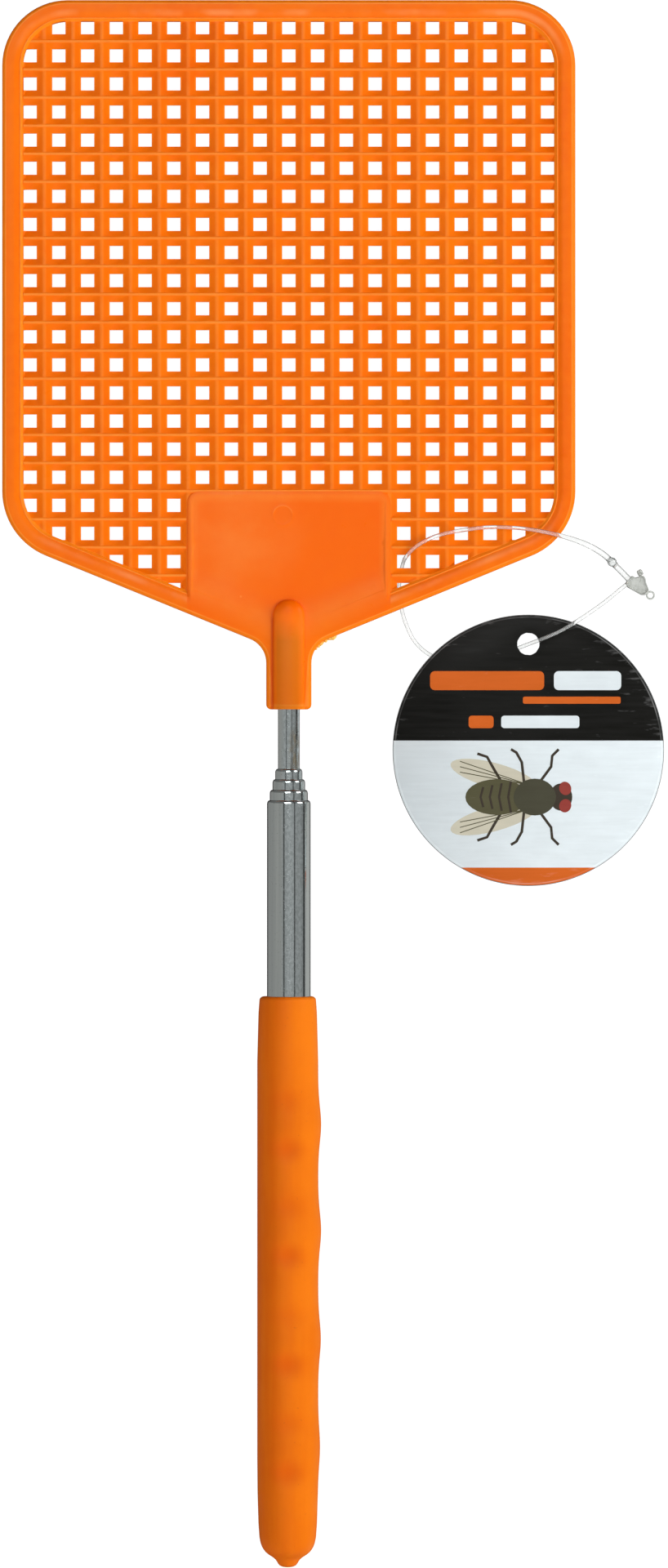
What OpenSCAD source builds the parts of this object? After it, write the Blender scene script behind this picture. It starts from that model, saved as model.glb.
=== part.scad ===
// Extendable fly swatter lying on its back: a moulded grid head on a rod of five nested steel tubes,
// a soft grip with finger bumps, and a round hang tag on a clear nylon loop.
// The rod runs along Y with the head at +Y. +Z is up from the surface that the swatter lies on.

/* [Head] */
// Width of the head
head_w = 105.2; // [90:0.2:120]
// Half of the closed swatter's length: the head's top edge and the grip's end lie this far from Y = 0
half_length = 143.85; // [143:0.05:146]
// Radius of the two top corners
top_corner_r = 12; // [8:0.5:16]
// Radius of the two lower corners
side_corner_r = 12.7; // [9:0.1:16]
// Height above the origin at which the side lines and the slanted lines would meet
side_end_y = 45.2; // [43:0.1:48]
// Angle of the two slanted edges that lead to the neck
slant = 22.2; // [18:0.2:26]
// Width of the solid rim
rim_w = 3.2; // [2.4:0.1:3.4]
// Thickness of the rim
rim_t = 3.4; // [2.8:0.1:3.8]
// Thickness of the ribs between the holes
rib_t = 2; // [1.4:0.1:2.4]
// Thickness of the smooth panel above the neck
panel_t = 2.4; // [2:0.1:2.8]
// Width of the smooth panel
panel_w = 37.4; // [36.4:0.2:38.4]
// Y of the smooth panel's top edge
panel_top_y = 53.8; // [53.2:0.1:54.2]

/* [Grid] */
// Side of one square hole
hole_w = 2.6; // [2:0.1:3]
// Distance between the columns of holes
column_pitch = 5.28; // [5.2:0.02:5.3]
// Distance between the rows of holes
row_pitch = 5.16; // [5.1:0.02:5.2]
// Y of the first row of holes, below the top edge
first_row_y = 138.9; // [138.5:0.1:139.2]

/* [Socket] */
// Width of the neck
neck_w = 8.3; // [8:0.1:10]
// Y of the neck's lower end
neck_y = 13.7; // [12:0.1:15]
// Radius of the fillet between a slanted edge and the neck
neck_fillet_r = 4.8; // [3:0.1:6]
// Diameter of the round boss that holds the rod
boss_d = 5.9; // [5.6:0.1:7]
// Y of the boss's rounded top
boss_top_y = 33.9; // [32.5:0.1:36]
// Depth of the socket
socket_depth = 14.5; // [10:0.5:15]

/* [Rod] */
// Outer diameter of the widest tube
wide_tube_d = 8; // [7.6:0.1:8.4]
// Difference in diameter from each tube to the next
tube_step = 1; // [0.96:0.01:1.04]
// Wall of each tube
tube_wall = 0.25; // [0.23:0.01:0.27]
// Y of the widest tube's mouth
mouth_y = -3; // [-4:0.1:-2]
// How far each tube's mouth stands out of the tube around it
mouth_step = 1.93; // [1.5:0.01:2.2]
// Y of the widest tube's lower end, in the grip
rod_end_y = -137; // [-138:0.5:-130]
// Length of the collar on each sliding tube's end plug
collar_l = 5; // [4:0.1:6]
// Length of the stem of each end plug, pressed into its tube
stem_l = 4; // [3:0.1:5]

/* [Grip] */
// Radius of the grip's body, and the height of the rod's axis above the surface
grip_r = 5.6; // [5.4:0.05:6]
// Y of the grip's front face
grip_front_y = -39; // [-44:0.5:-36]
// Distance from one finger bump to the next
bump_pitch = 19.7; // [18:0.1:21]
// Y of the bump nearest the front
first_bump_y = -62.5; // [-66:0.5:-60]
// How far a bump stands out of the body
bump_out = 0.55; // [0.2:0.05:0.8]

/* [Hang tag] */
// Diameter of the tag
tag_d = 50; // [40:1:52]
// Thickness of the tag
tag_t = 0.6; // [0.4:0.1:0.7]
// Diameter of the tag's hole
tag_hole_d = 4.1; // [3.8:0.1:5]
// Distance from the tag's centre to its hole
tag_hole_out = 19.6; // [19:0.1:20]
// Angle at which the tag leans on the loop
tag_lean = 1.4; // [1.2:0.1:2]

/* [Hidden] */
$fn = 64;

rod_z = grip_r;
half_w = head_w / 2;
side_slope = tan(slant);
corner_turn = 90 - slant;
arc_steps = 12;

columns = 19;
full_rows = 17;
// Outermost open column in each row beside the panel, and the last one before the panel
row_starts = [0, 1, 3, 5];
last_column = 5;

running_gap = 0.05;
stop_gap = 0.3;
mouth_roll = 0.7;
// Tubes are counted from the widest, 0, to the tip, 4
tip = 4;
function tube_r(i) = (wide_tube_d - i * tube_step) / 2;
function bore_r(i) = tube_r(i) - tube_wall;
function tube_mouth_y(i) = mouth_y + i * mouth_step;
function tube_end_y(i) =
    rod_end_y + i * (collar_l + stem_l + stop_gap) + (i > 0 ? butt_stem_l - stem_l : 0);

ring_t = 0.15;
ring_l = 2.5;
ring_slit = 0.7;
groove_l = 2.8;
butt_stem_l = 5;
butt_flange_l = 1.5;
// How far the rim, the ribs and the panel run into each other
rib_overlap = 0.2;

tag_hole = [44.1, 25.8];
tag_reach = tag_hole_out + tag_d / 2;
tag_z = tag_reach * sin(tag_lean);

// The clear nylon loop, from the lock through the tag's hole, under the tag, up through a hole of
// the grid, over the head and back to the lock
loop_d = 0.7;
loop_sides = 8;
loop_cuts = 2;
loop_route = [
    [62.2, 36.8, 1.3], [60.6, 35.5, 1.6], [58.4, 33.7, 2.2], [55.6, 31.7, 2.6], [52.6, 29.7, 2.8],
    [49.6, 28.0, 3.1], [46.6, 26.7, 2.9], [44.2, 25.8, 1.4], [41.8, 24.9, 0.45], [38.6, 24.0, 0.4],
    [34.5, 23.2, 0.4], [30.2, 22.8, 0.4], [26.4, 23.6, 0.4], [23.4, 26.0, 0.4], [21.6, 29.4, 0.5],
    [20.6, 33.0, 0.9], [20.3, 36.2, 1.9], [20.6, 38.8, 3.4], [21.0, 40.6, 5.0], [21.6, 41.8, 6.9],
    [23.4, 43.6, 7.6], [26.8, 45.4, 7.8], [31.6, 46.5, 7.9], [37.2, 47.1, 8.0], [43.4, 46.8, 8.1],
    [49.2, 45.7, 8.1], [54.0, 44.2, 7.6], [57.6, 42.3, 6.0], [60.2, 40.0, 3.8], [62.8, 37.5, 1.5]];
bead_at = [59.4, 40.8, 4.6];
bead_r = 0.85;
lock_at = [62.3, 37.6, 1.3];
lock_turn = -38;

// Points of an arc about c from angle a to angle b
function arc(c, r, a, b, n = arc_steps) =
    [for (k = [0:n]) c + r * [cos(a + (b - a) * k / n), sin(a + (b - a) * k / n)]];

function mirrored(points) = [for (k = [len(points) - 1:-1:0]) [-points[k][0], points[k][1]]];

// Right half of the blade's edge at a distance inside the real one, from the top to the slanted edge
function blade_side(inset) =
    let (cut = side_corner_r * tan(corner_turn / 2),
         top_c = [half_w - top_corner_r, half_length - top_corner_r],
         low_c = [half_w - side_corner_r, side_end_y + cut])
    concat(arc(top_c, top_corner_r - inset, 90, 0), arc(low_c, side_corner_r - inset, 0, -corner_turn));

// Y of the slanted edge, or of a line inside it, at a distance x from the rod
function slant_y(x, inset = 0) = side_end_y - (half_w - x) * side_slope + inset / cos(slant);

module blade_outline() {
    fillet_cut = neck_fillet_r * tan(corner_turn / 2);
    fillet_c = [neck_w / 2 + neck_fillet_r, slant_y(neck_w / 2) - fillet_cut];
    end_r = 0.9;
    right = concat(blade_side(0), arc(fillet_c, neck_fillet_r, 180 - corner_turn, 180),
                   arc([neck_w / 2 - end_r, neck_y + end_r], end_r, 0, -90));
    polygon(concat(right, mirrored(right)));
}

module inside_rim(inset) {
    right = concat(blade_side(inset), [[boss_d / 2, slant_y(boss_d / 2, inset)]]);
    polygon(concat(right, mirrored(right)));
}

module hole_at(column, row) {
    translate([(column - (columns - 1) / 2) * column_pitch, first_row_y - row * row_pitch])
        square(hole_w, center = true);
}

module grid_holes() {
    for (row = [0:full_rows - 1], column = [0:columns - 1])
        if (row > 0 || (column > 0 && column < columns - 1)) hole_at(column, row);
    for (row = [0:len(row_starts) - 1], column = [row_starts[row]:last_column]) {
        hole_at(column, full_rows + row);
        hole_at(columns - 1 - column, full_rows + row);
    }
}

module slab(thickness) {
    translate([0, 0, rod_z - thickness / 2]) linear_extrude(thickness) children();
}

// Turns a shape about Z into one about the rod, starting at y
module on_rod(y) {
    translate([0, y, rod_z]) rotate([-90, 0, 0]) children();
}

module grid_head() {
    color("darkorange") difference() {
        union() {
            slab(rib_t) difference() {
                blade_outline();
                intersection() {
                    inside_rim(rim_w + rib_overlap);
                    grid_holes();
                }
            }
            slab(rim_t) difference() {
                blade_outline();
                inside_rim(rim_w);
            }
            slab(panel_t) intersection() {
                inside_rim(rim_w - rib_overlap);
                translate([-panel_w / 2, neck_y]) square([panel_w, panel_top_y - neck_y]);
            }
            on_rod(neck_y) cylinder(d = boss_d, h = boss_top_y - boss_d / 2 - neck_y);
            translate([0, boss_top_y - boss_d / 2, rod_z]) sphere(d = boss_d);
        }
        on_rod(neck_y - 1) cylinder(r = tube_r(tip), h = socket_depth + 1);
    }
}

// A tube with a mouth rolled in to the next tube's size
module rolled_tube(i) {
    length = tube_mouth_y(i) - tube_end_y(i);
    mouth_r = tube_r(i + 1) + running_gap;
    roll = tube_r(i) - mouth_r;
    inner_roll = bore_r(i) - mouth_r;
    base = length - mouth_roll;
    outer = [for (a = [0:9:90]) [mouth_r + roll * cos(a), base + mouth_roll * sin(a)]];
    inner = [for (a = [90:-9:0])
        [mouth_r + inner_roll * cos(a), base + (mouth_roll - tube_wall) * sin(a)]];
    color("silver") on_rod(tube_end_y(i)) rotate_extrude()
        polygon(concat([[bore_r(i), 0], [tube_r(i), 0]], outer, inner));
}

module tip_tube() {
    length = neck_y + socket_depth - tube_end_y(tip);
    color("silver") on_rod(tube_end_y(tip)) difference() {
        cylinder(r = tube_r(tip), h = length);
        translate([0, 0, -1]) cylinder(r = bore_r(tip), h = length + 2);
    }
}

// Brass plug in the lower end of sliding tube i: its collar guides the tube and is the stop
module end_plug(i) {
    collar_r = bore_r(i - 1) - running_gap;
    groove_r = tube_r(i) - 0.3;
    groove_y = (collar_l - groove_l) / 2;
    color("goldenrod") on_rod(tube_end_y(i) - collar_l) difference() {
        union() {
            cylinder(r = collar_r, h = collar_l);
            cylinder(r = bore_r(i), h = collar_l + stem_l);
        }
        translate([0, 0, groove_y]) difference() {
            cylinder(r = collar_r + 1, h = groove_l);
            translate([0, 0, -1]) cylinder(r = groove_r, h = groove_l + 2);
        }
    }
}

// Split bronze ring in the plug's groove, bowed out against the bore of the tube around it
module friction_ring(i) {
    crown_r = bore_r(i - 1) - 0.01;
    bow = 0.2;
    outer = [for (k = [0:8]) [crown_r - bow * pow(k / 4 - 1, 2), ring_l * k / 8]];
    inner = [for (k = [8:-1:0]) [outer[k][0] - ring_t, outer[k][1]]];
    color("peru") on_rod(tube_end_y(i) - collar_l / 2 - ring_l / 2) difference() {
        rotate_extrude() polygon(concat(outer, inner));
        translate([0, -ring_slit / 2, -1]) cube([wide_tube_d, ring_slit, ring_l + 2]);
    }
}

// Plug that closes the widest tube inside the grip
module butt_plug() {
    color("dimgray") on_rod(rod_end_y - butt_flange_l) union() {
        cylinder(r = tube_r(0) - running_gap, h = butt_flange_l);
        cylinder(r = bore_r(0), h = butt_flange_l + butt_stem_l);
    }
}

module grip_body() {
    length = half_length + grip_front_y;
    nub_l = 1.85;
    nub_r = 2.3;
    front_r = grip_r - 0.5;
    edge = 0.7;
    end_r = 2.7;
    end_narrow = 0.4;
    end_taper = 14;
    front_taper = 12;
    nub = [for (a = [0:10:90]) [nub_r * sin(a), nub_l * (1 - cos(a))]];
    shoulder = arc([grip_r - end_narrow - end_r, nub_l + end_r], end_r, -90, 0, 9);
    front = arc([front_r - edge, length - edge], edge, 0, 90, 6);
    on_rod(-half_length) rotate_extrude() polygon(concat(
        [[0, length]], nub, shoulder,
        [[grip_r, nub_l + end_taper], [grip_r, length - front_taper]], front));
}

module grip() {
    bump_l = 15;
    bumps = 4;
    lean = 0.2;
    fall = 1.2;
    half = 6;
    profile = [for (k = [0:2 * half]) [grip_r - fall * pow(k / half - 1, 2), bump_l * k / half / 2]];
    color("orange") difference() {
        union() {
            translate([-lean, 0, 0]) grip_body();
            for (k = [0:bumps - 1])
                translate([bump_out - lean, 0, 0])
                    on_rod(first_bump_y - k * bump_pitch - bump_l / 2) rotate_extrude()
                        polygon(concat([[0, bump_l], [0, 0]], profile));
        }
        on_rod(rod_end_y - butt_flange_l)
            cylinder(r = tube_r(0), h = grip_front_y - rod_end_y + butt_flange_l + 1);
    }
}

module hang_tag() {
    color("black") translate([tag_hole[0], tag_hole[1], tag_z]) rotate([tag_lean, 0, 0])
        linear_extrude(tag_t) difference() {
            translate([0, -tag_hole_out]) circle(d = tag_d, $fn = 128);
            circle(d = tag_hole_d);
        }
}

function smooth(p, k, t) =
    let (a = p[max(k - 1, 0)], b = p[k], c = p[min(k + 1, len(p) - 1)], d = p[min(k + 2, len(p) - 1)])
    0.5 * (2 * b + (c - a) * t + (2 * a - 5 * b + 4 * c - d) * t * t + (3 * b - a - 3 * c + d) * t * t * t);

function unit(v) = v / norm(v);

module tag_loop() {
    last = len(loop_route) - 1;
    line = concat([for (k = [0:last - 1], s = [0:loop_cuts - 1]) smooth(loop_route, k, s / loop_cuts)],
                  [loop_route[last]]);
    count = len(line);
    points = [for (k = [0:count - 1])
        let (along = unit(line[min(k + 1, count - 1)] - line[max(k - 1, 0)]),
             side = unit(cross(along, [0, 0, 1])),
             up = cross(side, along))
        for (s = [0:loop_sides - 1])
            line[k] + loop_d / 2 * (cos(360 * s / loop_sides) * side + sin(360 * s / loop_sides) * up)];
    walls = [for (k = [0:count - 2], s = [0:loop_sides - 1])
        let (a = k * loop_sides, n = (s + 1) % loop_sides)
        [a + s, a + n, a + n + loop_sides, a + s + loop_sides]];
    start = [for (s = [loop_sides - 1:-1:0]) s];
    end = [for (s = [0:loop_sides - 1]) (count - 1) * loop_sides + s];
    color("gainsboro") polyhedron(points, concat([start], walls, [end]), convexity = 8);
}

module loop_bead() {
    color("gainsboro") translate(bead_at) sphere(r = bead_r);
}

// Housing that the loop's stem is pressed into, with a small ring at its tip
module loop_lock() {
    ring_r = 0.65;
    wire_r = 0.16;
    length = 4.4;
    fin = [1.4, 1.1, 0.6];
    color("lightgray") translate(lock_at) rotate([0, 0, lock_turn]) {
        rotate([0, 90, 0]) rotate_extrude()
            polygon([[0, 0], [1.05, 0], [1.25, 0.5], [1.25, 2], [0.4, length], [0, length]]);
        translate([1.8, 0.6, -fin[2] / 2]) cube(fin);
        translate([length + ring_r - wire_r, 0, 0])
            rotate_extrude() translate([ring_r, 0]) circle(r = wire_r);
    }
}

grid_head();
tip_tube();  // tube_4mm
rolled_tube(3);  // tube_5mm
rolled_tube(2);  // tube_6mm
rolled_tube(1);  // tube_7mm
rolled_tube(0);  // tube_8mm
end_plug(4);  // end_plug_4mm
end_plug(3);  // end_plug_5mm
end_plug(2);  // end_plug_6mm
end_plug(1);  // end_plug_7mm
friction_ring(4);  // friction_ring_4mm
friction_ring(3);  // friction_ring_5mm
friction_ring(2);  // friction_ring_6mm
friction_ring(1);  // friction_ring_7mm
butt_plug();
grip();
hang_tag();
tag_loop();
loop_bead();
loop_lock();
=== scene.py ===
import math
import random
from math import atan2, degrees, dist, exp, hypot, pi, radians, sqrt

import bmesh
import bpy
from mathutils import Matrix, Vector
from mathutils.geometry import delaunay_2d_cdt


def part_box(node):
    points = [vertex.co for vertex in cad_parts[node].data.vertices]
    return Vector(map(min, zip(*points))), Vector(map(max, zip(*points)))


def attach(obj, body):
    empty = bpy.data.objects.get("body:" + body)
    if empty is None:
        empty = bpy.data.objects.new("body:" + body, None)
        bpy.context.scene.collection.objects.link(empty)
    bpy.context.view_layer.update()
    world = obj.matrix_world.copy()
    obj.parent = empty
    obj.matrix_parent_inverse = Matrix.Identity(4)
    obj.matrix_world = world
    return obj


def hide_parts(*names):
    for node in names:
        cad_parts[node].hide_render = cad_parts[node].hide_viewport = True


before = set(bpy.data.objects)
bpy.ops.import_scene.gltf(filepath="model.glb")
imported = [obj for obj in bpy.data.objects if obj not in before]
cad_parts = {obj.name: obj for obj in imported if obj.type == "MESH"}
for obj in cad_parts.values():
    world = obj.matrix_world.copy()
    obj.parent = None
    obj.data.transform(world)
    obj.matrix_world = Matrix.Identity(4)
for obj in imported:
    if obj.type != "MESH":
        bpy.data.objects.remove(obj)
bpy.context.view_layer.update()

# An extendable fly swatter lying on its back. Shapes are worked out in millimetres and scaled to metres
# as each mesh is made. The rod runs along Y with the head at +Y, and +Z is up.
MM = 0.001


def box_mm(node):
    low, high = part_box(node)
    return low / MM, high / MM


HEAD_LOW, HEAD_HIGH = box_mm("grid_head")
WIDE_LOW, WIDE_HIGH = box_mm("tube_8mm")
ROD_Z = (WIDE_LOW.z + WIDE_HIGH.z) / 2


# ---------------- small helpers. Angles are in degrees.

def sin(turn):
    return math.sin(radians(turn))


def cos(turn):
    return math.cos(radians(turn))


def tan(turn):
    return math.tan(radians(turn))


def arc(centre, radius, start, end, steps=12):
    """Points of an arc about centre, from angle start to angle end in degrees."""
    turns = [start + (end - start) * k / steps for k in range(steps + 1)]
    return [(centre[0] + radius * cos(turn), centre[1] + radius * sin(turn)) for turn in turns]


def circle(centre, radius, steps):
    return arc(centre, radius, 0, 360, steps)[:-1]


def mirrored(points):
    return [(-x, y) for x, y in reversed(points)]


def round_pairs(points):
    """Each point with the next one, and the last with the first."""
    return list(zip(points, points[1:] + points[:1]))


def table(value, stops):
    """Reads a height or a radius off straight lines between stops."""
    if value <= stops[0][0]:
        return stops[0][1]
    for (a, low), (b, high) in zip(stops, stops[1:]):
        if value <= b:
            return low + (high - low) * (value - a) / (b - a)
    return stops[-1][1]


def smooth_step(value, low, high):
    t = min(max((value - low) / (high - low), 0), 1)
    return t * t * (3 - 2 * t)


def ring_of(bm, points):
    return [bm.verts.new(point) for point in points]


def bridge(bm, rings):
    """Faces between each ring of points and the next, all the way round. A ring of one point is a tip."""
    made = []
    for lower, upper in zip(rings, rings[1:]):
        for s in range(max(len(lower), len(upper))):
            corners = [lower[s % len(lower)], lower[(s + 1) % len(lower)],
                       upper[(s + 1) % len(upper)], upper[s % len(upper)]]
            corners = list(dict.fromkeys(corners))
            if len(corners) > 2:
                made.append(bm.faces.new(corners))
    return made


def revolve(bm, profile, segments):
    """Turns (radius, height) points about Z. Points at radius 0 close the ends."""
    rings = []
    for radius, height in profile:
        flat = circle((0, 0), radius, segments) if radius > 0 else [(0, 0)]
        rings.append(ring_of(bm, [(x, y, height) for x, y in flat]))
    bridge(bm, rings)
    return rings


def triangles_of(loops, segments, loose=()):
    """Triangulates closed loops, loose segments and loose points together. Returns points and triangles."""
    points, edges = list(loose), []
    for loop in loops:
        first = len(points)
        points += loop
        edges += [(first + k, first + (k + 1) % len(loop)) for k in range(len(loop))]
    for a, b in segments:
        edges.append((len(points), len(points) + 1))
        points += [a, b]
    made = delaunay_2d_cdt([Vector(p) for p in points], edges, [], 1, 1e-4)
    return made[0], made[2]


def centre_of(points, face):
    return sum((points[i] for i in face), Vector((0, 0))) / len(face)


def drop_loose(bm):
    bmesh.ops.delete(bm, geom=[v for v in bm.verts if not v.link_faces], context="VERTS")


def finish_mesh(name, bm, sharp=40):
    """Turns a bmesh in millimetres into a smooth-shaded mesh in metres, with its sharp edges marked."""
    bmesh.ops.recalc_face_normals(bm, faces=bm.faces)
    for face in bm.faces:
        face.smooth = True
    for edge in bm.edges:
        if len(edge.link_faces) == 2 and edge.calc_face_angle(0) > radians(sharp):
            edge.smooth = False
    bmesh.ops.scale(bm, vec=(MM, MM, MM), verts=bm.verts)
    mesh = bpy.data.meshes.new(name)
    bm.to_mesh(mesh)
    bm.free()
    return mesh


def add(name, data):
    made = bpy.data.objects.new(name, data)
    bpy.context.scene.collection.objects.link(made)
    return made


def ride(name, data, body, material, replaced=()):
    """Puts a piece in the scene, on a body of the frame."""
    piece = add(name, data)
    if material:
        piece.data.materials.append(material)
    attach(piece, body)
    if replaced:
        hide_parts(*replaced)
    return piece


def make_piece(name, bm, body, material, replaced=(), sharp=40, place=None):
    """A piece from a bmesh in millimetres, which is first moved to its place."""
    if place:
        bmesh.ops.transform(bm, matrix=place, verts=bm.verts)
    return ride(name, finish_mesh(name, bm, sharp), body, material, replaced)


# ---------------- materials

class Nodes:
    """Short calls for the nodes that the materials and the studio share."""

    def __init__(self, owner):
        owner.use_nodes = True
        self.tree = owner.node_tree

    def node(self, kind, inputs=(), **settings):
        node = self.tree.nodes.new(kind)
        for key, value in settings.items():
            setattr(node, key, value)
        for socket, value in inputs:
            if isinstance(value, bpy.types.NodeSocket):
                self.tree.links.new(value, node.inputs[socket])
            else:
                node.inputs[socket].default_value = value
        return node

    def remap(self, value, low, high, to_low=0.0, to_high=1.0, **settings):
        inputs = [(0, value), (1, low), (2, high), (3, to_low), (4, to_high)]
        return self.node("ShaderNodeMapRange", inputs, **settings).outputs[0]

    def math(self, operation, a, b=0.0):
        return self.node("ShaderNodeMath", [(0, a), (1, b)], operation=operation).outputs[0]

    def times(self, first, *others):
        for other in others:
            first = self.math("MULTIPLY", first, other)
        return first

    def most(self, first, *others):
        for other in others:
            first = self.math("MAXIMUM", first, other)
        return first

    def near(self, value, centre, far, full, low=0.0, high=1.0):
        """Rises from low where a value is far from a centre to high where it is close to it."""
        off = self.math("ABSOLUTE", self.math("SUBTRACT", value, centre))
        return self.remap(off, far, full, low, high)


class Paint(Nodes):
    """A Principled material, with short calls for what its surface looks like."""

    def __init__(self, name, colour, roughness, **sockets):
        self.material = bpy.data.materials.new(name)
        super().__init__(self.material)
        self.shader = self.tree.nodes["Principled BSDF"]
        self.shader.inputs["Base Color"].default_value = (*colour, 1)
        self.shader.inputs["Roughness"].default_value = roughness
        for socket, value in sockets.items():
            self.shader.inputs[socket.replace("_", " ")].default_value = value
        self.coords = self.tree.nodes.new("ShaderNodeTexCoord").outputs["Object"]

    def stretched(self, scale):
        return self.node("ShaderNodeMapping", [("Vector", self.coords), ("Scale", scale)]).outputs[0]

    def noise(self, scale, detail, stretch=(1, 1, 1)):
        inputs = [("Vector", self.stretched(stretch)), ("Scale", scale), ("Detail", detail)]
        return self.node("ShaderNodeTexNoise", inputs).outputs[0]

    def cloud(self, noise, *levels):
        """Noise spread out between levels."""
        return self.remap(self.noise(*noise), *levels)

    def distance(self, place, scale=(1, 1, 0)):
        """How far the surface is from a place in millimetres, with both stretched alike."""
        target = tuple(c * s * MM for c, s in zip((*place, 0), scale))
        inputs = [(0, self.stretched(scale)), (1, target)]
        return self.node("ShaderNodeVectorMath", inputs, operation="DISTANCE").outputs["Value"]

    def axis(self, name):
        return self.node("ShaderNodeSeparateXYZ", [(0, self.coords)]).outputs[name]

    def stored(self, name):
        """A number that the mesh keeps at each of its points."""
        return self.node("ShaderNodeAttribute", attribute_name=name).outputs["Fac"]

    def mix(self, factor, first, second):
        first, second = ((*c, 1) if isinstance(c, tuple) else c for c in (first, second))
        return self.node("ShaderNodeMix", [(0, factor), (6, first), (7, second)], data_type="RGBA").outputs[2]

    def set(self, socket, value):
        self.tree.links.new(value, self.shader.inputs[socket])

    def finished(self, height, strength, distance, below=None):
        """The material, once its last bump is laid over the one below."""
        self.set("Normal", self.bump(height, strength, distance, below))
        return self.material

    def bump(self, height, strength, distance, below=None):
        inputs = [("Height", height), ("Strength", strength), ("Distance", distance)]
        if below is not None:
            inputs.append(("Normal", below))
        return self.node("ShaderNodeBump", inputs).outputs[0]


def head_plastic():
    """Glossy moulded plastic, a little translucent."""
    paint = Paint("head_plastic", (0.95, 0.155, 0.004), 0.34, Specular_IOR_Level=0.07,
                  Subsurface_Weight=0.10, Subsurface_Scale=0.0015, Subsurface_Radius=(1.0, 0.35, 0.08))
    flow = paint.cloud((55, 3, (1, 0.6, 1)), 0.3, 0.7)
    colour = paint.mix(flow, (0.91, 0.138, 0.0005), (0.95, 0.176, 0.0008))
    cloud = paint.cloud((420, 2), 0.35, 0.75, 0, 0.35)
    colour = paint.mix(cloud, colour, (1.0, 0.20, 0.003))
    in_panel = paint.remap(paint.stored("panel_inset"), -0.05, 0.1)
    inset = paint.stored("inset")
    colour = panel_marks(paint, colour, in_panel)
    # painted highlights on the crowns, ridges and rims, and painted glow at thin edges and hole sides
    colour = painted_highlights_and_glow(paint, colour, in_panel, inset)
    colour = boss_shades(paint, colour)
    paint.set("Base Color", colour)
    paint.set("Roughness", paint.cloud((240, 3), 0.3, 0.7, 0.27, 0.42))
    ripple = paint.bump(paint.noise(160, 2), 0.3, 0.0003)
    return paint.finished(paint.noise(2600, 2), 0.12, 0.00003, ripple)


def panel_marks(paint, colour, in_panel):
    """The panel is a little redder, with a hazy patch, the arc of its pin mark and one pale speck."""
    haze = paint.times(paint.remap(paint.distance(HAZE_AT, (1, 1, 1)), 0.016, 0.002),
                       paint.cloud((150, 4), 0.3, 0.7, 0.35, 0.95))
    pin_ring = paint.near(paint.distance(PIN_AT), PIN_R * MM, 0.22 * MM, 0.06 * MM, 0, 0.6)
    pin_top = paint.remap(paint.axis("Y"), (PIN_AT[1] - 0.2) * MM, (PIN_AT[1] + 0.9) * MM)
    speck = paint.remap(paint.distance(SPECK_AT), 0.28 * MM, 0.12 * MM)
    above_neck = paint.remap(paint.axis("Y"), 0.025, 0.034, 0.1, 0.7)
    colour = paint.mix(paint.times(in_panel, above_neck), colour, (0.96, 0.128, 0.001))
    marks = paint.times(paint.most(haze, paint.times(pin_ring, pin_top), speck), in_panel)
    return paint.mix(marks, colour, (1.0, 0.24, 0.035))


def painted_highlights_and_glow(paint, colour, in_panel, inset):
    """Painted highlights on the crowns, ridges, rims and panel edges; painted glow at thin edges and hole
    sides.
    """
    outside_panel = paint.math("SUBTRACT", 1.0, in_panel)
    grid = paint.times(outside_panel, paint.remap(inset, 3.3, 3.4))
    x, y = paint.math("ABSOLUTE", paint.axis("X")), paint.axis("Y")
    half_column, half_row = COLUMN_PITCH / 2 * MM, ROW_PITCH / 2 * MM
    below_grid = (FIRST_ROW_Y - ROW_PITCH * (FULL_ROWS + 5)) * MM - half_row
    over = paint.math("PINGPONG", paint.math("ADD", x, half_column), half_column)
    up = paint.math("PINGPONG", paint.math("SUBTRACT", y, below_grid), half_row)
    patchy = paint.cloud((300, 3), 0.25, 0.6, 0.55, 1.0)

    # Painted highlights: pale lines on the grid's crowns and on the rims' inner ridge and outer line
    crown_h = paint.remap(up, 0.28 * MM, 0.14 * MM, 0, 0.6)
    crown_v = paint.remap(over, 0.46 * MM, 0.22 * MM, 0, 0.28)
    ridge = paint.times(paint.near(inset, 3.32, 0.16, 0.06, 0, 0.7), outside_panel)
    outer_line = paint.near(inset, 0.62, 0.18, 0.06, 0, 0.6)
    painted_highlight_lines = paint.most(paint.times(paint.most(crown_h, crown_v), grid), ridge, outer_line)
    colour = paint.mix(paint.times(painted_highlight_lines, patchy), colour, (0.99, 0.33, 0.045))

    # Painted highlight: a soft pale band along the panel's edges and its shoulders
    lip = paint.times(paint.near(paint.stored("panel_inset"), 1.0, 1.3, 0.1, 0, 0.45),
                      paint.remap(inset, 2.2, 4.2))
    shoulder = paint.near(inset, 4.6, 3.0, 0.4, 0, 0.3)
    colour = paint.mix(paint.times(paint.most(lip, shoulder), in_panel, patchy), colour, (1.0, 0.26, 0.03))

    # Painted highlight: pale sheen blotches along the top and slanted rims
    band = paint.times(paint.near(inset, 2.3, 0.8, 0.2), paint.near(y, GRID_MIDDLE_Y * MM, 0.040, 0.047),
                       paint.cloud((110, 3), 0.44, 0.66, 0.05, 0.5))
    colour = paint.mix(paint.times(band, outside_panel), colour, (1.0, 0.36, 0.12))

    # Painted glow and painted light: the thin outer edge, the holes' sides and the rim's clipped slope made
    # lighter and yellower
    thin = paint.remap(inset, 0.6, 0.3, 0, 0.5)
    hole_side = paint.times(paint.remap(over, 1.10 * MM, 1.30 * MM, 0, 0.6), grid,
                            paint.remap(up, 1.2 * MM, 1.4 * MM))
    clipped = paint.times(paint.near(inset, 3.68, 0.30, 0.15, 0, 0.7), outside_panel)
    return paint.mix(paint.most(thin, hole_side, clipped), colour, (1.0, 0.27, 0.010))


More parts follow.
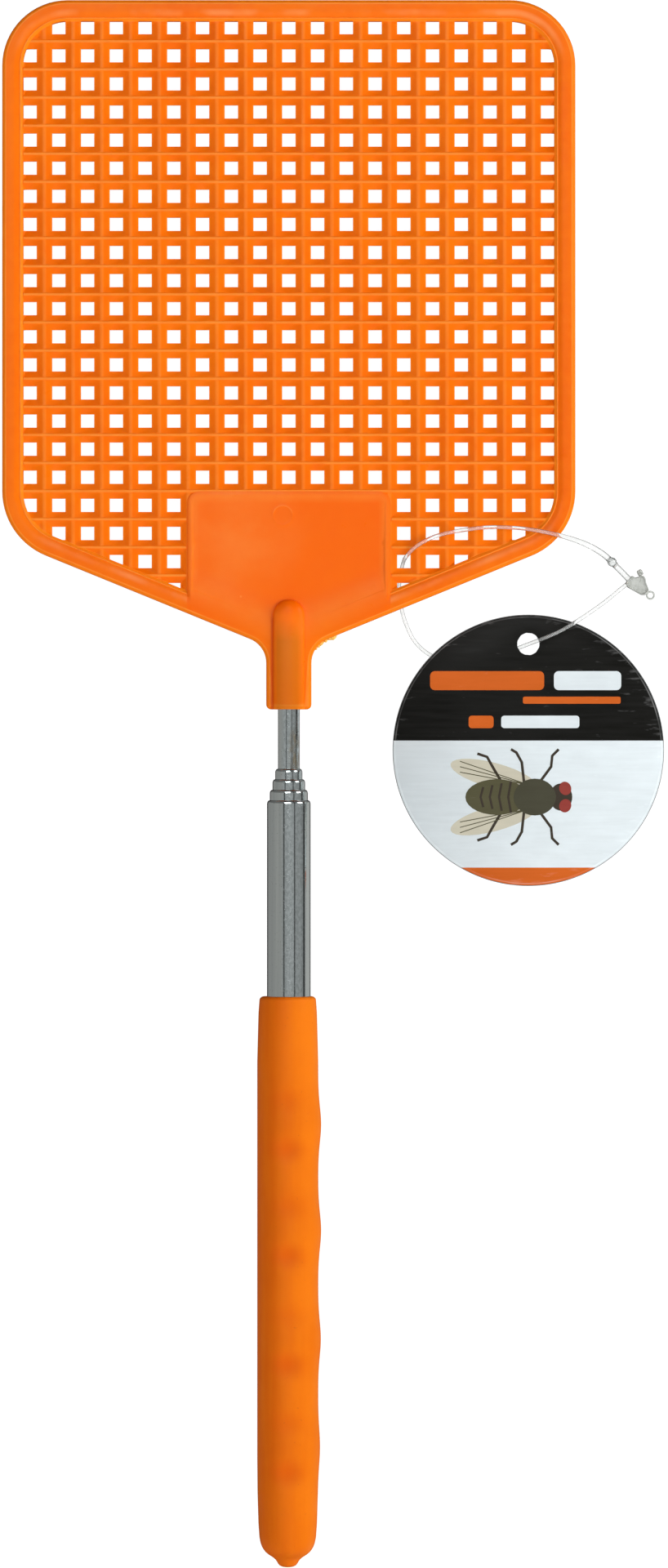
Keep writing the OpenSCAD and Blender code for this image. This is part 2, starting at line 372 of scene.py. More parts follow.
def boss_shades(paint, colour):
    """A painted shadow line along the boss's left foot, and the steel tube showing darkly through the boss.
    """
    x, y = paint.axis("X"), paint.axis("Y")
    # Painted shadow along the boss's left foot
    foot = paint.times(paint.near(x, -0.0030, 0.0005, 0.0001),
                       paint.remap(y, (BOSS_END_Y - 2) * MM, (BOSS_END_Y - 4) * MM, 0, 0.6))
    colour = paint.mix(foot, colour, (0.62, 0.055, 0.001))
    tube_end = NECK_Y + SOCKET_DEPTH
    inside = paint.times(paint.remap(x, -0.0028, -0.0020), paint.remap(x, 0.0033, 0.0015),
                         paint.remap(y, (tube_end + 2.0) * MM, (tube_end - 2.0) * MM, 0, 0.5))
    return paint.mix(inside, colour, (0.46, 0.135, 0.007))


def clouded(name, colours, rough, noise, spread=(0.3, 0.7), **sockets):
    """A material whose colour and roughness drift together between two ends."""
    paint = Paint(name, colours[0], rough[0], **sockets)
    cloud = paint.cloud(noise, *spread)
    paint.set("Base Color", paint.mix(cloud, *colours))
    if rough[0] != rough[-1]:
        paint.set("Roughness", paint.remap(cloud, 0, 1, *rough))
    return paint


def crumb_plastic():
    """Thin torn plastic, paler and yellower than the moulding."""
    colours = ((0.90, 0.40, 0.04), (1.0, 0.68, 0.20))
    paint = clouded("crumb_plastic", colours, (0.35, 0.6), (1800, 3), (0.35, 0.65),
                    Subsurface_Weight=0.2, Subsurface_Scale=0.0008, Specular_IOR_Level=0.25)
    return paint.finished(paint.noise(3500, 2), 0.3, 0.00005)


def tube_steel(name="tube_steel", stain=None):
    """Drawn stainless tube: fine lines along it, small pits, a painted reflection band, and rust where a
    stain is asked for.
    """
    paint = Paint(name, (0.45, 0.47, 0.45), 0.08, Metallic=1.0)
    lines = paint.noise(1500, 3, (1, 0.012, 1))
    broad = paint.noise(420, 2, (1, 0.01, 1))
    colour = paint.mix(paint.remap(lines, 0.3, 0.7), (0.43, 0.46, 0.44), (0.52, 0.545, 0.52))
    colour = paint.mix(paint.remap(broad, 0.35, 0.65, 0, 0.4), colour, (0.38, 0.41, 0.41))
    # Painted reflection: a bluish band down the tube's middle as seen from above, mottled paler by frost
    painted_reflection_band = paint.near(paint.axis("X"), 0.9 * MM, 2.4 * MM, 1.6 * MM)
    frost = paint.cloud((2300, 3, (1, 0.6, 1)), 0.38, 0.62)
    colour = paint.mix(paint.times(painted_reflection_band, 0.5), colour, (0.40, 0.46, 0.47))
    colour = paint.mix(paint.times(frost, painted_reflection_band, 0.40), colour, (0.70, 0.76, 0.77))
    pits = paint.cloud((3800, 2), 0.66, 0.74)
    colour = paint.mix(paint.times(pits, 0.5), colour, (0.12, 0.11, 0.10))
    rough = paint.cloud((900, 3, (1, 0.05, 1)), 0.3, 0.7, 0.05, 0.11)
    if stain:
        stained = paint.remap(paint.distance(stain, (1, 0.25, 0)), 0.0014, 0.0005)
        speckle = paint.cloud((1500, 4, (1, 0.4, 1)), 0.32, 0.62)
        rust = paint.times(stained, speckle, 0.8)
        colour = paint.mix(rust, colour, (0.19, 0.135, 0.055))
        rough = paint.math("ADD", rough, paint.times(rust, 0.4))
    paint.set("Base Color", colour)
    paint.set("Roughness", rough)
    fine = paint.bump(lines, 0.12, 0.00002)
    return paint.finished(pits, 0.3, 0.00002, fine)


def soft_grip():
    """Satin foam rubber with a fine skin, with painted light on its fingers' side and painted shade in its
    hollows.
    """
    paint = Paint("grip_soft", (0.70, 0.145, 0.001), 0.6, Subsurface_Weight=0.05, Subsurface_Scale=0.001,
                  Subsurface_Radius=(1.0, 0.4, 0.1), Specular_IOR_Level=0.08)
    cloud = paint.cloud((70, 4), 0.3, 0.7)
    # Painted light: lighter and yellower towards +X, the side the key light falls on
    painted_shaded_side = paint.mix(cloud, (0.74, 0.124, 0.0005), (0.80, 0.148, 0.001))
    painted_lit_side = paint.mix(cloud, (0.78, 0.155, 0.002), (0.86, 0.195, 0.004))
    colour = paint.mix(paint.remap(paint.axis("X"), -0.003, 0.0035), painted_shaded_side, painted_lit_side)
    streak = paint.cloud((600, 3, (1, 0.08, 1)), 0.4, 0.7, 0, 0.3)
    colour = paint.mix(streak, colour, (0.86, 0.20, 0.004))
    # Painted shade in the hollows below and above each finger bump
    for place in BUMPS_Y:
        for off, deep in ((-HOLLOW_BELOW, 0.62), (HOLLOW_ABOVE, 0.3)):
            away = paint.distance((-0.3, place + off), (1 / 5.2, 1 / 3.4, 0))
            painted_hollow_shade = paint.remap(away, MM, 0.0, 0.0, deep, interpolation_type="SMOOTHSTEP")
            colour = paint.mix(painted_hollow_shade, colour, (0.70, 0.092, 0.0))
    specks = paint.cloud((1500, 2), 0.70, 0.78, 0, 0.4)
    colour = paint.mix(specks, colour, (0.55, 0.10, 0.01))
    paint.set("Base Color", colour)
    paint.set("Roughness", paint.cloud((350, 3), 0.3, 0.7, 0.46, 0.62))
    skin = paint.bump(paint.noise(3000, 3), 0.2, 0.00004)
    return paint.finished(paint.noise(220, 2), 0.2, 0.00015, skin)


def turned_metal(name, colour, roughness):
    """Turned or rolled metal with fine rings round the rod."""
    rings = (5000, 2, (0.05, 1, 0.05))
    dark = tuple(0.7 * c for c in colour)
    paint = clouded(name, (dark, colour), (roughness, roughness + 0.15), rings, Metallic=1.0)
    return paint.finished(paint.noise(*rings), 0.2, 0.00002)


def black_plastic():
    grain = (2500, 3)
    paint = clouded("butt_plastic", ((0.02, 0.02, 0.02), (0.045, 0.045, 0.045)), (0.6,), grain)
    return paint.finished(paint.noise(*grain), 0.25, 0.00005)


def printed_card(name, colour, roughness, metal=0.0):
    """Ink under gloss film: rolled streaks across the card, and scuffs where the film has been rubbed."""
    def lighter(times, more):
        return tuple(min(1, c * times + more) for c in colour)

    paint = Paint(name, colour, roughness, Metallic=metal, Specular_IOR_Level=0.08)
    streak = paint.noise(1600, 4, (0.08, 1, 1))
    tone = paint.mix(paint.remap(streak, 0.35, 0.7), colour, lighter(1.05, 0.003))
    cloud = paint.cloud((260, 4, (0.7, 1, 1)), 0.48, 0.75, 0, 0.5)
    tone = paint.mix(cloud, tone, lighter(1.12, 0.004))
    out = paint.distance((TAG_HOLE[0], TAG_HOLE[1] - TAG_HOLE_OUT))
    near_rim = paint.remap(out, (TAG_R - 2.5) * MM, (TAG_R - 0.4) * MM, 0, 0.14)
    left, right = (TAG_HOLE[0] - TAG_R) * MM, (TAG_HOLE[0] + TAG_R) * MM
    to_right = paint.remap(paint.axis("X"), left, right, -0.07, 0.03)
    rough_up = paint.math("ADD", paint.math("ADD", paint.noise(1300, 3, (0.25, 1, 1)), near_rim), to_right)
    scuff = paint.remap(rough_up, 0.66, 0.8, 0, 0.35)
    rim_line = paint.times(paint.near(out, (TAG_R - 0.45) * MM, 0.16 * MM, 0.05 * MM),
                           paint.cloud((200, 3), 0.4, 0.6, 0.25, 0.9))
    paint.set("Base Color", paint.mix(paint.most(scuff, rim_line), tone, lighter(1, 0.16)))
    paint.set("Roughness", paint.remap(streak, 0.3, 0.7, roughness, roughness + 0.2))
    film = paint.bump(streak, 0.10, 0.00004)
    return paint.finished(paint.noise(90, 2, (0.4, 1, 1)), 0.25, 0.0003, film)


def clear_nylon():
    """Clear nylon with cloudy streaks, and painted shade that greys it where it is seen edge-on."""
    paint = Paint("loop_nylon", (0.93, 0.95, 0.93), 0.2, Transmission_Weight=0.85, IOR=1.45)
    cloud = paint.cloud((500, 2), 0.3, 0.7)
    clear = paint.mix(cloud, (0.93, 0.95, 0.94), (0.99, 1.0, 0.99))
    # Painted shade: greyer where the surface turns edge-on to the view
    edge = paint.node("ShaderNodeLayerWeight", [("Blend", 0.5)]).outputs["Facing"]
    paint.set("Base Color", paint.mix(paint.remap(edge, 0.22, 0.50), clear, (0.30, 0.31, 0.30)))
    paint.set("Roughness", paint.remap(cloud, 0, 1, 0.18, 0.26))
    return paint.finished(paint.noise(900, 2), 0.04, 0.00002)


def frosted_nylon():
    """The lock's thicker nylon, milky where it is thick."""
    colours = ((0.55, 0.57, 0.53), (0.66, 0.68, 0.64))
    paint = clouded("lock_nylon", colours, (0.22, 0.45), (1300, 3), (0.35, 0.65),
                    Transmission_Weight=0.2, IOR=1.45)
    return paint.finished(paint.noise(2500, 2), 0.15, 0.00003)


def pale_floor():
    """White paper, lit so evenly that it hardly takes a shadow."""
    paint = clouded("pale_floor", ((0.095, 0.095, 0.095), (0.105, 0.105, 0.105)), (0.7,), (40, 3),
                    Emission_Color=(1, 1, 1, 1), Emission_Strength=0.98)
    return paint.material


# ---------------- camera, lights and floor

# The camera looks straight down on the middle of the photograph's frame: the swatter's full length
# fills it from top to bottom, with the tag's side of it wider than the other.
CAMERA_HEIGHT = 1.5
CAMERA_X = 8.3 * MM
FRAME_HEIGHT = 288 * MM
SENSOR = 36


def make_camera():
    data = bpy.data.cameras.new("camera")
    data.sensor_width = SENSOR
    data.lens = SENSOR * CAMERA_HEIGHT / FRAME_HEIGHT
    data.clip_end = 20
    camera = add("camera", data)
    camera.location = (CAMERA_X, 0, ROD_Z * MM + CAMERA_HEIGHT)
    bpy.context.scene.camera = camera


def area_light(name, place, size, power, hidden_from):
    """An area light that faces the middle of the swatter, hidden from the camera and the named rays."""
    data = bpy.data.lights.new(name, "AREA")
    data.shape = "RECTANGLE"
    data.size, data.size_y = size
    data.energy = power
    light = add(name, data)
    light.location = place
    light.rotation_mode = "QUATERNION"
    light.rotation_quaternion = (-Vector(place)).to_track_quat("-Z", "Y")
    hide_from(light, ("camera", *hidden_from))


def hide_from(thing, rays):
    for kind in rays:
        setattr(thing, "visible_" + kind, False)


# Brightness of the studio's tent of white cloth round the rod's axis: degrees from straight up, towards
# the right. The narrow dips are the gaps between its panels, which the steel tubes reflect as dark lines.
TENT = [(-180, 0.012), (-155, 0.012), (-135, 0.42), (-60, 0.50), (-31, 0.50), (-28, 0.10), (-24, 0.10),
        (-21, 0.46), (6, 0.56), (26, 0.50), (29, 0.10), (33, 0.10), (36, 0.44), (66, 0.42), (80, 0.34),
        (85, 0.06), (93, 0.06), (97, 0.52), (112, 0.75), (140, 0.65), (158, 0.012), (180, 0.012)]
# How far along Y a direction points, and how bright the tent is there: brighter at its front end
TENT_ENDS = [(-1.0, 1.8), (-0.5, 1.6), (-0.3, 1.0), (0.22, 1.0), (0.34, 0.5), (0.84, 0.5), (0.90, 0.05),
             (1.0, 0.05)]


def make_tent():
    world = bpy.data.worlds.new("studio")
    nodes = Nodes(world)
    where = nodes.node("ShaderNodeTexCoord").outputs["Generated"]
    way = nodes.node("ShaderNodeSeparateXYZ", [(0, where)]).outputs
    turn = nodes.math("ARCTAN2", way["X"], way["Z"])
    walls = brightness(nodes, turn, pi, [(a / 180, bright) for a, bright in TENT])
    ends = brightness(nodes, way["Y"], 1, TENT_ENDS)
    background = nodes.tree.nodes["Background"]
    nodes.tree.links.new(walls, background.inputs["Color"])
    nodes.tree.links.new(ends, background.inputs["Strength"])
    bpy.context.scene.world = world


def brightness(nodes, value, limit, stops):
    """Reads a brightness off straight lines between stops, which run from -1 to 1 for -limit to limit."""
    peak = max(bright for _, bright in stops)
    ramp = nodes.node("ShaderNodeValToRGB", [(0, nodes.remap(value, -limit, limit))])
    elements = ramp.color_ramp.elements
    for k, (place, bright) in enumerate(stops):
        stop = elements[k] if k < 2 else elements.new((place + 1) / 2)
        stop.position = (place + 1) / 2
        stop.color = (bright / peak, bright / peak, bright / peak, 1)
    return nodes.math("MULTIPLY", ramp.outputs[0], peak)


def make_studio():
    bpy.context.scene.view_settings.view_transform = "Standard"
    make_tent()
    area_light("key", (1.1, 0.1, 0.6), (0.5, 0.9), 11, ["glossy"])
    area_light("top", (-0.25, 0.2, 1.4), (1.0, 1.0), 4.5, ["glossy"])
    area_light("front", (0.15, -1.0, 1.0), (0.8, 0.3), 2.0, [])
    area_light("strip_left", (-0.13, 0.55, 1.17), (0.75, 0.65), 8.5 * 0.75, ["diffuse"])
    area_light("strip_right", (1.08, 0.55, 0.48), (0.55, 0.65), 8.5 * 0.55, ["diffuse"])


DOME_R = 10600
FLOOR_HALF = 10000
FLOOR_DROP = 0.02


def make_floor(paper):
    bm = bmesh.new()
    corners = [(-1, -1), (1, -1), (1, 1), (-1, 1)]
    bm.faces.new(ring_of(bm, [(x * FLOOR_HALF, y * FLOOR_HALF, -FLOOR_DROP) for x, y in corners]))
    stage_piece("floor", bm, paper, ["glossy", "diffuse"])


def make_backdrop(paper):
    """A pale dome behind everything, which only the camera sees. It is round every side camera, and near
    enough for all of them to see its far side."""
    bm = bmesh.new()
    bmesh.ops.create_icosphere(bm, subdivisions=5, radius=DOME_R)
    stage_piece("backdrop", bm, paper, ["diffuse", "glossy", "transmission", "shadow"])


def stage_piece(name, bm, material, hidden_from):
    piece = add(name, finish_mesh(name, bm))
    piece.data.materials.append(material)
    hide_from(piece, hidden_from)


# ---------------- the clear loop

LOOP_D = 0.7
STEM_D = 1.1
LOOP_ROUTE = [
    (62.2, 36.8, 1.3), (60.6, 35.5, 1.6), (58.4, 33.7, 2.2), (55.6, 31.7, 2.6), (52.6, 29.7, 2.8),
    (49.6, 28.0, 3.1), (46.6, 26.7, 2.9), (44.2, 25.8, 1.4), (41.8, 24.9, 0.45), (38.6, 24.0, 0.4),
    (34.5, 23.2, 0.4), (30.2, 22.8, 0.4), (26.4, 23.6, 0.4), (23.4, 26.0, 0.4), (21.6, 29.4, 0.5),
    (20.6, 33.0, 0.9), (20.3, 36.2, 1.9), (20.6, 38.8, 3.4), (21.0, 40.6, 5.0), (21.6, 41.8, 6.9),
    (23.4, 43.6, 7.6), (26.8, 45.4, 7.8), (31.6, 46.5, 7.9), (37.2, 47.1, 8.0), (43.4, 46.8, 8.1),
    (49.2, 45.7, 8.1), (54.0, 44.2, 7.6), (57.6, 42.3, 6.0), (60.2, 40.0, 3.8), (62.8, 37.5, 1.5)]
LOOP_CUTS = 5
# The route's points between which the filament thickens into the stem that the lock grips
STEM_FROM = 24
STEM_FULL = 27


def smooth_route(points, cuts):
    """Points along the same smooth curve as the CAD loop's, and how far along the route each one is."""
    line = []
    last = len(points) - 1
    for k in range(last):
        a, b, c, d = (Vector(points[min(max(i, 0), last)]) for i in (k - 1, k, k + 1, k + 2))
        for s in range(cuts):
            t = s / cuts
            place = 0.5 * (2 * b + (c - a) * t + (2 * a - 5 * b + 4 * c - d) * t * t
                           + (3 * b - a - 3 * c + d) * t ** 3)
            line.append((place, k + t))
    line.append((Vector(points[last]), last))
    return line


def make_loop(nylon):
    """The filament, and its length in metres."""
    line = smooth_route(LOOP_ROUTE, LOOP_CUTS)
    curve = bpy.data.curves.new("clear_loop", "CURVE")
    curve.dimensions = "3D"
    curve.bevel_depth = LOOP_D / 2 * MM
    curve.bevel_resolution = 5
    curve.use_fill_caps = True
    spline = curve.splines.new("POLY")
    spline.points.add(len(line) - 1)
    for point, (place, along) in zip(spline.points, line):
        point.co = (*(place * MM), 1)
        point.radius = 1 + (STEM_D / LOOP_D - 1) * smooth_step(along, STEM_FROM, STEM_FULL)
    spline.use_smooth = True
    loop = ride("clear_loop", curve, "loop", nylon, ["tag_loop"])
    length = sum((b[0] - a[0]).length for a, b in zip(line, line[1:]))
    return loop, length * MM


# The collar that the mould leaves on each side of the ball, as radius and height in ball radii
COLLAR = [(0.62, 0.8), (0.70, 1.0), (0.66, 1.25), (0, 1.25)]
# How far round from its middle the ball reaches before the collar
COLLAR_TURN = 52


def make_bead(nylon):
    """Ball on the stem, with a small collar on each side."""
    low, high = box_mm("loop_bead")
    radius = (high.x - low.x) / 2
    profile = [(r, -z) for r, z in reversed(COLLAR)] + arc((0, 0), 1, -COLLAR_TURN, COLLAR_TURN) + COLLAR
    bm = bmesh.new()
    revolve(bm, [(r * radius, z * radius) for r, z in profile], 28)
    along = Vector(LOOP_ROUTE[-2]) - Vector(LOOP_ROUTE[-3])
    place = Matrix.Translation((low + high) / 2) @ along.to_track_quat("Z", "Y").to_matrix().to_4x4()
    return make_piece("loop_ball", bm, "loop", nylon, ["loop_bead"], 60, place)


# The lock's housing seen from above, with its tip at +X and a fin on its +Y side
LOCK_OUTLINE = [(0.05, -0.45), (0.30, -0.85), (0.95, -1.05), (2.20, -0.85), (3.75, -0.60), (4.35, -0.15),
                (4.50, 0.45), (4.30, 1.00), (3.60, 1.42), (3.10, 1.72), (2.45, 2.30), (2.00, 2.42),
                (1.50, 2.20), (1.20, 1.60), (0.95, 1.25), (0.30, 1.15), (0.02, 0.60)]
LOCK_MIDDLE = (2.2, 0.4)
# Heights in half depths, and how large the outline is there
LOCK_LAYERS = [(-1.0, 0.8775), (-0.85, 0.958), (-0.4, 1), (0.4, 1), (0.85, 0.958), (1.0, 0.8775)]
LOCK_DEPTH = 2.2
LOCK_TURN = -38
LOCK_AT = (62.3, 37.6, 1.3)
# Balls that make the latch: their centres, radii and stretches
LATCH = [((1.20, 2.20, 0.1), 0.36, (1.3, 0.9, 0.8)), ((0.95, 2.75, 0.15), 0.34, (1.2, 1, 0.8)),
         ((0.70, 2.40, 0.1), 0.28, (1, 1, 1)), ((1.42, 2.60, 0.1), 0.26, (1, 1, 1))]
EYE_R = 0.66
EYE_WIRE_R = 0.17
EYE_X = 4.4


def make_lock(nylon):
    """Arrow-shaped housing with a sunken face, a latch on its fin and a ring at its tip."""
    place = Matrix.Translation(LOCK_AT) @ Matrix.Rotation(radians(LOCK_TURN), 4, "Z")
    parts = [("lock_housing", lock_housing(), ["loop_lock"], 30), ("lock_latch", lock_latch(), (), 60),
             ("lock_eye", lock_eye(), (), 60)]
    made = [make_piece(name, bm, "loop", nylon, replaced, sharp, place)
            for name, bm, replaced, sharp in parts]
    bevel = made[0].modifiers.new("round", "BEVEL")
    bevel.width = 0.12 * MM
    bevel.segments = 2
    bevel.angle_limit = radians(30)
    return made


def lock_housing():
    bm = bmesh.new()
    cx, cy = LOCK_MIDDLE
    layers = []
    for z, grow in LOCK_LAYERS:
        outline = [(cx + (x - cx) * grow, cy + (y - cy) * grow, z * LOCK_DEPTH / 2) for x, y in LOCK_OUTLINE]
        layers.append(ring_of(bm, outline))
    bridge(bm, layers)
    top = bm.faces.new(layers[-1])
    bm.faces.new(layers[0][::-1])
    bmesh.ops.inset_individual(bm, faces=[top], thickness=0.30)
    bmesh.ops.translate(bm, vec=(0, 0, -0.35), verts=top.verts)
    return bm


def lock_latch():
    bm = bmesh.new()
    for centre, radius, scale in LATCH:
        made = bmesh.ops.create_uvsphere(bm, u_segments=16, v_segments=8, radius=radius)["verts"]
        bmesh.ops.scale(bm, vec=scale, verts=made)
        bmesh.ops.translate(bm, vec=centre, verts=made)
    return bm


def lock_eye():
    bm = bmesh.new()
    rings = []
    for turn in range(0, 360, 10):
        wire = circle((EYE_R * (1 + 0.12 * cos(turn)), 0), EYE_WIRE_R, 10)
        points = [(EYE_X + EYE_R + r * cos(turn), LOCK_MIDDLE[1] + r * sin(turn), z) for r, z in wire]
        rings.append(ring_of(bm, points))
    bridge(bm, rings + rings[:1])
    return bm


# ---------------- the moulded head

HALF_W = (HEAD_HIGH.x - HEAD_LOW.x) / 2
TOP_Y = HEAD_HIGH.y
NECK_Y = HEAD_LOW.y
TOP_CORNER_R = 12
SIDE_CORNER_R = 12.7
SIDE_END_Y = 45.2
SLANT = 22.2
CORNER_TURN = 90 - SLANT
NECK_HALF = 4.15
FILLET_R = 4.8
NECK_END_R = 0.9
HOLE = 1.22
COLUMN_PITCH = 5.28
ROW_PITCH = 5.16
BAR_V_HALF = COLUMN_PITCH / 2 - HOLE
BAR_H_HALF = ROW_PITCH / 2 - HOLE
FIRST_ROW_Y = 138.9
COLUMNS = 19
FULL_ROWS = 17
ROW_STARTS = [0, 1, 3, 5]
LAST_COLUMN = 5
GRID_MIDDLE_Y = 92
PANEL_HALF = 18.7
PANEL_TOP_Y = 53.76
BOSS_R = 2.95
BOSS_END_Y = 33.9
SOCKET_R = 2.02
SOCKET_DEPTH = 14.5

# Heights above the head's middle plane
RIM_FLAT = 1.7
RIM_OUTER = [(0, 1.15), (0.15, 1.4), (0.4, 1.58), (0.7, RIM_FLAT)]
RIM_INNER = [(2.0, RIM_FLAT), (2.6, 1.58), (3.05, 1.34), (3.2, 1.32), (3.32, 1.4), (3.46, 1.29), (3.8, 1.0),
             (4.4, 0.45)]
CLIP = 3.8
CROWN_H, CROWN_H_HALF = 1.15, 0.17
CROWN_V, CROWN_V_HALF = 1.02, 0.36
HOLE_EDGE = 0.45
PANEL_H = 1.25
PANEL_EDGE = 0.8
PANEL_CORNER = 2.2
PIN_AT = (-1.1, 49.3)
PIN_R = 1.8
PIN_LINE = 0.15
HAZE_AT = (-10, 46)
SPECK_AT = (-8.8, 34.4)
BOSS_TOP = 3.0
THINNEST = 0.2


def slant_y(x, inset=0.0):
    """Y of the slanted edge, or of a line inset from it, at a distance x from the rod."""
    return SIDE_END_Y - (HALF_W - x) * tan(SLANT) + inset / cos(SLANT)


TOP_C = (HALF_W - TOP_CORNER_R, TOP_Y - TOP_CORNER_R)
SIDE_C = (HALF_W - SIDE_CORNER_R, SIDE_END_Y + SIDE_CORNER_R * tan(CORNER_TURN / 2))
FILLET_C = (NECK_HALF + FILLET_R, slant_y(NECK_HALF) - FILLET_R * tan(CORNER_TURN / 2))


def blade_side(inset):
    top = arc(TOP_C, TOP_CORNER_R - inset, 90, 0, 16)
    return top + arc(SIDE_C, SIDE_CORNER_R - inset, 0, -CORNER_TURN, 14)


def head_outline(inset):
    """The head's whole edge, or a line inside it, all the way round the neck."""
    corner = max(NECK_END_R - inset, 0.02)
    right = blade_side(inset) + arc(FILLET_C, FILLET_R + inset, 180 - CORNER_TURN, 180, 10)
    right += arc((NECK_HALF - inset - corner, NECK_Y + inset + corner), corner, 0, -90, 6)
    return right + mirrored(right)


def blade_line(inset):
    """A line inside the blade's edge, closed across the rod where the slanted edges meet."""
    right = blade_side(inset) + [(0, slant_y(0, inset))]
    return right + mirrored(right)[1:]


def blade_depth(x, y):
    """How far a point is inside the blade's edge, as if the slanted edges met at the rod."""
    x = abs(x)
    depth = min(TOP_Y - y, HALF_W - x, (y - slant_y(x)) * cos(SLANT))
    if x > TOP_C[0] and y > TOP_C[1]:
        depth = min(depth, TOP_CORNER_R - dist((x, y), TOP_C))
    turn = degrees(atan2(y - SIDE_C[1], x - SIDE_C[0]))
    if -CORNER_TURN < turn < 0:
        depth = min(depth, SIDE_CORNER_R - dist((x, y), SIDE_C))
    return depth


def head_depth(x, y):
    """How far a point is inside the edge of the blade and neck together."""
    x = abs(x)
    turn = degrees(atan2(y - FILLET_C[1], x - FILLET_C[0]))
    if 180 - CORNER_TURN <= turn <= 180 and x < FILLET_C[0] and y < slant_y(x) + FILLET_R:
        return dist((x, y), FILLET_C) - FILLET_R
    if y < FILLET_C[1]:
        return min(NECK_HALF - x, y - NECK_Y)
    return blade_depth(x, y)


def grid_height(x, y):
    """Crowns between the holes and the slopes that lead down to them."""
    column = x / COLUMN_PITCH + 0.5
    across = abs(column - round(column)) * COLUMN_PITCH
    row = (FIRST_ROW_Y - y) / ROW_PITCH + 0.5
    along = abs(row - round(row)) * ROW_PITCH
    vertical = table(across, [(CROWN_V_HALF, CROWN_V), (BAR_V_HALF, HOLE_EDGE)])
    horizontal = table(along, [(CROWN_H_HALF, CROWN_H), (BAR_H_HALF, HOLE_EDGE)])
    return max(vertical, horizontal)


def panel_depth(x, y):
    """How far a point is inside the panel's top and side edges."""
    x = abs(x)
    depth = min(PANEL_HALF - x, PANEL_TOP_Y - y)
    corner = (PANEL_HALF - PANEL_CORNER, PANEL_TOP_Y - PANEL_CORNER)
    if x > corner[0] and y > corner[1]:
        depth = min(depth, PANEL_CORNER - dist((x, y), corner))
    return depth


def panel_height(x, y):
    """The smooth panel, with a rounded step at its edges, the raised ring that the mould's ejector pin leaves
    near its top, and a rise without a step to the slanted rims."""
    depth = panel_depth(x, y)
    if depth <= 0:
        return 0
    top = PANEL_H + (RIM_FLAT - PANEL_H) * (1 - smooth_step(blade_depth(x, y), 2.5, 9))
    edge = (top - CROWN_V) * (1 - sqrt(1 - (1 - min(depth / PANEL_EDGE, 1)) ** 2))
    pin_mark = 0.05 * max(0, 1 - abs(dist((x, y), PIN_AT) - PIN_R) / PIN_LINE)
    return top - edge + pin_mark


def boss_reach(x, y):
    return hypot(x, max(y - (BOSS_END_Y - BOSS_R), 0))


def head_height(x, y):
    inner = table(blade_depth(x, y), RIM_INNER)
    base = max(inner, grid_height(x, y), panel_height(x, y))
    base = min(base, table(head_depth(x, y), RIM_OUTER))
    reach = boss_reach(x, y) / BOSS_R
    if reach < 1:
        base += (BOSS_TOP - base) * sqrt(1 - reach * reach)
    return max(base, THINNEST)


def between(a, b, t):
    return a[0] + (b[0] - a[0]) * t, a[1] + (b[1] - a[1]) * t


def clip_to(polygon, line):
    """The part of a polygon inside a convex line that runs clockwise."""
    kept = polygon
    for a, b in round_pairs(line):
        def side(p):
            return (b[0] - a[0]) * (p[1] - a[1]) - (b[1] - a[1]) * (p[0] - a[0])
        source, kept = kept, []
        for p, q in round_pairs(source):
            sp, sq = side(p), side(q)
            if sp <= 0:
                kept.append(p)
            if sp * sq < 0:
                kept.append(between(p, q, sp / (sp - sq)))
        if len(kept) < 3:
            return []
    return kept


def polygon_area(points):
    return abs(sum(a[0] * b[1] - b[0] * a[1] for a, b in round_pairs(points))) / 2


def in_polygon(p, polygon):
    inside = False
    for a, b in round_pairs(polygon):
        if (a[1] > p[1]) != (b[1] > p[1]) and p[0] < (b[0] - a[0]) * (p[1] - a[1]) / (b[1] - a[1]) + a[0]:
            inside = not inside
    return inside


def open_cells():
    """The cells that have a hole, as (column, row) with the first row at the top."""
    cells = []
    for row in range(FULL_ROWS):
        cells += [(column, row) for column in range(COLUMNS) if row > 0 or 0 < column < COLUMNS - 1]
    for step, first in enumerate(ROW_STARTS):
        for column in range(first, LAST_COLUMN + 1):
            cells += [(column, FULL_ROWS + step), (COLUMNS - 1 - column, FULL_ROWS + step)]
    return cells


def cell_centre(column, row):
    return (column - (COLUMNS - 1) / 2) * COLUMN_PITCH, FIRST_ROW_Y - row * ROW_PITCH


def cell_at(x, y):
    return round(x / COLUMN_PITCH + (COLUMNS - 1) / 2), round((FIRST_ROW_Y - y) / ROW_PITCH)


def head_holes():
    """Each open cell's square, less what the rim covers of it."""
    line = blade_line(CLIP)
    holes = {}
    for cell in open_cells():
        x, y = cell_centre(*cell)
        square = [(x - HOLE, y - HOLE), (x + HOLE, y - HOLE), (x + HOLE, y + HOLE), (x - HOLE, y + HOLE)]
        cut = clip_to(square, line)
        if cut and polygon_area(cut) > 0.5:
            holes[cell] = cut
    return holes


def inside_grid(p):
    x, y = p
    return blade_depth(x, y) > CLIP - 0.02 and not (abs(x) < PANEL_HALF and y < PANEL_TOP_Y)


def grid_lines():
    """Edges of the crowns and the folds between their slopes, one cell corner at a time."""
    lines = []
    v, h = CROWN_V_HALF, CROWN_H_HALF
    meet = h + (CROWN_H - CROWN_V) / (CROWN_H - HOLE_EDGE) * (BAR_H_HALF - h)
    for column in range(-1, COLUMNS):
        for row in range(-1, FULL_ROWS + len(ROW_STARTS)):
            x, y = cell_centre(column + 0.5, row + 0.5)
            left, right = x - COLUMN_PITCH / 2, x + COLUMN_PITCH / 2
            for s in (-1, 1):
                lines.append([(left, y + s * h), (right, y + s * h)])
                lines.append([(left, y + s * (h + 0.12)), (right, y + s * (h + 0.12))])
                lines.append([(x - v, y + s * meet), (x, y + s * meet), (x + v, y + s * meet)])
                lines.append([(x + s * v, y + meet), (x + s * v, y + ROW_PITCH - meet)])
                for t in (-1, 1):
                    lines.append([(x + s * v, y + t * meet), (x + s * BAR_V_HALF, y + t * BAR_H_HALF)])
    return lines


